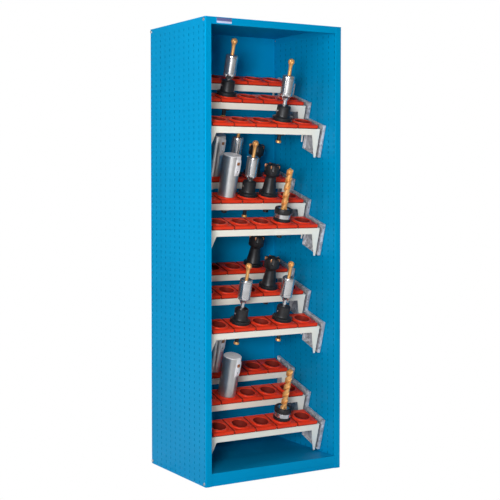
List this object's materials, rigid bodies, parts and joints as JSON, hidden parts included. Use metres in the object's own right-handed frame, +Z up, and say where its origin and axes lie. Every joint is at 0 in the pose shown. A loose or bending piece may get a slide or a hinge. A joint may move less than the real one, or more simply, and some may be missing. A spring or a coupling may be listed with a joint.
{
  "type": "cnc tool holder rack",
  "caption": "Open steel cabinet with perforated double side walls and tiers of tilted, stepped shelves whose plastic socket inserts hold taper shank machine tool holders.",
  "frame": {"origin": "middle of the base, on the floor plane", "axes": "+X to the right seen from the front, -Y out of the open front, +Z up"},
  "size_m": [0.708, 0.52, 2],
  "materials": {
    "blue_paint": "smooth semi-gloss powder coat",
    "cream_paint": "smooth satin powder coat",
    "galvanised_steel": "zinc coated sheet, dull with a fine spangle",
    "red_plastic": "moulded plastic, satin gloss",
    "plate_film": "printed film, blank",
    "zinc_steel": "zinc plated",
    "black_steel": "black oxide, oiled",
    "chrome_steel": "polished",
    "ground_steel": "finely turned",
    "gold_coating": "gold coloured hard coating"
  },
  "bodies": {
    "cabinet": {"back_panel": "blue_paint", "corner_bolts": "zinc_steel", "corner_posts": "blue_paint", "floor_panel": "blue_paint", "left_liner": "blue_paint", "left_outer_skin": "blue_paint", "name_plate": "plate_film", "right_liner": "blue_paint", "right_outer_skin": "blue_paint", "roof_panel": "blue_paint", "shelf_bolts": "zinc_steel", "unit_1_front_shelf": "cream_paint", "unit_1_inserts": "red_plastic", "unit_1_left_bracket": "galvanised_steel", "unit_1_middle_shelf": "cream_paint", "unit_1_rear_shelf": "cream_paint", "unit_1_right_bracket": "galvanised_steel", "unit_2_front_shelf": "cream_paint", "unit_2_inserts": "red_plastic", "unit_2_left_bracket": "galvanised_steel", "unit_2_middle_shelf": "cream_paint", "unit_2_rear_shelf": "cream_paint", "unit_2_right_bracket": "galvanised_steel", "unit_3_front_shelf": "cream_paint", "unit_3_inserts": "red_plastic", "unit_3_left_bracket": "galvanised_steel", "unit_3_middle_shelf": "cream_paint", "unit_3_rear_shelf": "cream_paint", "unit_3_right_bracket": "galvanised_steel", "unit_4_front_shelf": "cream_paint", "unit_4_inserts": "red_plastic", "unit_4_left_bracket": "galvanised_steel", "unit_4_middle_shelf": "cream_paint", "unit_4_rear_shelf": "cream_paint", "unit_4_right_bracket": "galvanised_steel", "wall_cores": "blue_paint"},
    "ball_mill_1": {"ball_mill_1_holder": "black_steel", "ball_mill_1_cutter": "chrome_steel"},
    "ball_mill_2": {"ball_mill_2_holder": "black_steel", "ball_mill_2_cutter": "chrome_steel"},
    "ball_mill_3": {"ball_mill_3_holder": "black_steel", "ball_mill_3_cutter": "chrome_steel"},
    "ball_mill_4": {"ball_mill_4_holder": "black_steel", "ball_mill_4_cutter": "chrome_steel"},
    "ball_mill_5": {"ball_mill_5_holder": "black_steel", "ball_mill_5_cutter": "chrome_steel"},
    "ball_mill_6": {"ball_mill_6_holder": "black_steel", "ball_mill_6_cutter": "chrome_steel"},
    "boring_bar_1": {"boring_bar_1_bar": "ground_steel"},
    "boring_bar_2": {"boring_bar_2_bar": "ground_steel"},
    "boring_bar_3": {"boring_bar_3_bar": "ground_steel"},
    "boring_bar_4": {"boring_bar_4_bar": "ground_steel"},
    "face_mill_1": {"face_mill_1_cutter": "black_steel"},
    "face_mill_2": {"face_mill_2_cutter": "black_steel"},
    "face_mill_3": {"face_mill_3_cutter": "black_steel"},
    "face_mill_4": {"face_mill_4_cutter": "black_steel"},
    "drill_1": {"drill_1_chuck": "black_steel", "drill_1_bit": "gold_coating"},
    "drill_2": {"drill_2_chuck": "black_steel", "drill_2_bit": "gold_coating"}
  },
  "joints": [
    {"name": "ball_mill_1_lift", "type": "slide", "parent": "cabinet", "child": "ball_mill_1", "axis": [0, -0.2924, 0.9563], "range_m": [0, 0.05]},
    {"name": "ball_mill_2_lift", "type": "slide", "parent": "cabinet", "child": "ball_mill_2", "axis": [0, -0.2924, 0.9563], "range_m": [0, 0.11]},
    {"name": "ball_mill_3_lift", "type": "slide", "parent": "cabinet", "child": "ball_mill_3", "axis": [0, -0.2924, 0.9563], "range_m": [0, 0.065]},
    {"name": "ball_mill_4_lift", "type": "slide", "parent": "cabinet", "child": "ball_mill_4", "axis": [0, -0.2924, 0.9563], "range_m": [0, 0.11]},
    {"name": "ball_mill_5_lift", "type": "slide", "parent": "cabinet", "child": "ball_mill_5", "axis": [0, -0.2924, 0.9563], "range_m": [0, 0.11]},
    {"name": "ball_mill_6_lift", "type": "slide", "parent": "cabinet", "child": "ball_mill_6", "axis": [0, -0.2924, 0.9563], "range_m": [0, 0.11]},
    {"name": "boring_bar_1_lift", "type": "slide", "parent": "cabinet", "child": "boring_bar_1", "axis": [0, -0.2924, 0.9563], "range_m": [0, 0.075]},
    {"name": "boring_bar_2_lift", "type": "slide", "parent": "cabinet", "child": "boring_bar_2", "axis": [0, -0.2924, 0.9563], "range_m": [0, 0.11]},
    {"name": "boring_bar_3_lift", "type": "slide", "parent": "cabinet", "child": "boring_bar_3", "axis": [0, -0.2924, 0.9563], "range_m": [0, 0.11]},
    {"name": "boring_bar_4_lift", "type": "slide", "parent": "cabinet", "child": "boring_bar_4", "axis": [0, -0.2924, 0.9563], "range_m": [0, 0.055]},
    {"name": "face_mill_1_lift", "type": "slide", "parent": "cabinet", "child": "face_mill_1", "axis": [0, -0.2924, 0.9563], "range_m": [0, 0.11]},
    {"name": "face_mill_2_lift", "type": "slide", "parent": "cabinet", "child": "face_mill_2", "axis": [0, -0.2924, 0.9563], "range_m": [0, 0.1]},
    {"name": "face_mill_3_lift", "type": "slide", "parent": "cabinet", "child": "face_mill_3", "axis": [0, -0.2924, 0.9563], "range_m": [0, 0.11]},
    {"name": "face_mill_4_lift", "type": "slide", "parent": "cabinet", "child": "face_mill_4", "axis": [0, -0.2924, 0.9563], "range_m": [0, 0.095]},
    {"name": "drill_1_lift", "type": "slide", "parent": "cabinet", "child": "drill_1", "axis": [0, -0.2924, 0.9563], "range_m": [0, 0.11]},
    {"name": "drill_2_lift", "type": "slide", "parent": "cabinet", "child": "drill_2", "axis": [0, -0.2924, 0.9563], "range_m": [0, 0.11]}
  ]
}
